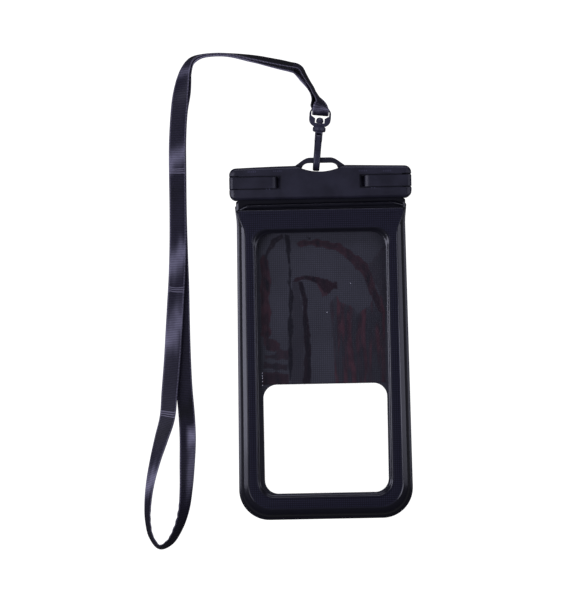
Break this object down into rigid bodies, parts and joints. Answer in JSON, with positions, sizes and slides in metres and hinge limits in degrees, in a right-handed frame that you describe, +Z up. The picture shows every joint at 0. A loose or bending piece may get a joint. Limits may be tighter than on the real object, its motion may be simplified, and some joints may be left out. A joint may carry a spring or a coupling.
{
  "type": "waterproof phone pouch",
  "caption": "Black waterproof pouch for a phone: lever-locked clamp bar, puffy frame, clear front and camera windows, swivel snap hook and flat neck lanyard, lying on its back.",
  "frame": {"origin": "on the table under the middle of the pouch, lanyard and hook left out of the box", "axes": "+Y from the pouch's foot to the eyelet, +Z up from the table it lies on, +X to the right seen from the front"},
  "size_m": [0.1687, 0.3068, 0.014],
  "materials": {
    "bar_plastic": "satin moulded",
    "hook_plastic": "satin moulded",
    "frame_film": "soft film with a fine grid grain",
    "clear_film": "clear flexible film",
    "seal_foam": "matt",
    "steel": "plain",
    "ribbon": "satin ribbon"
  },
  "bodies": {
    "pouch": {"back_bar": "bar_plastic", "back_seal_strip": "seal_foam", "latch_pin_left": "steel", "latch_pin_right": "steel", "hinge_pin_left": "steel", "hinge_pin_right": "steel", "front_frame": "frame_film", "back_frame": "frame_film", "front_window": "clear_film", "back_window": "clear_film", "swivel_eye": "hook_plastic", "lanyard_strap": "ribbon"},
    "clamp_front": {"front_bar": "bar_plastic", "front_seal_strip": "seal_foam"},
    "left_lever": {"latch_lever_left": "bar_plastic"},
    "right_lever": {"latch_lever_right": "bar_plastic"},
    "snap_hook": {"hook_body": "hook_plastic"},
    "gate": {"hook_gate": "hook_plastic"}
  },
  "joints": [
    {"name": "clamp_open", "type": "hinge", "parent": "pouch", "child": "clamp_front", "pos_m": [0, 0.08975, 0.012], "axis": [1, 0, 0], "range_deg": [0, 24]},
    {"name": "latch_left", "type": "hinge", "parent": "pouch", "child": "left_lever", "pos_m": [-0.0535, 0.096, 0.0045], "axis": [0, -1, 0], "range_deg": [0, 96]},
    {"name": "latch_right", "type": "hinge", "parent": "pouch", "child": "right_lever", "pos_m": [0.0535, 0.096, 0.0045], "axis": [0, 1, 0], "range_deg": [0, 96]},
    {"name": "hook_swivel", "type": "hinge", "parent": "pouch", "child": "snap_hook", "pos_m": [-0.0025, 0.1031, 0.006], "axis": [0.0958, 0.9954, 0], "range_deg": [-20, 20]},
    {"name": "gate_open", "type": "hinge", "parent": "snap_hook", "child": "gate", "pos_m": [-0.00049, 0.124, 0.01], "axis": [0.9954, -0.0958, 0], "range_deg": [0, 25], "stiffness_Nm_per_rad": 0.01}
  ],
  "couplings": [
    {"joint": "latch_left", "follows": "clamp_open", "ratio": 4},
    {"joint": "latch_right", "follows": "clamp_open", "ratio": 4}
  ]
}
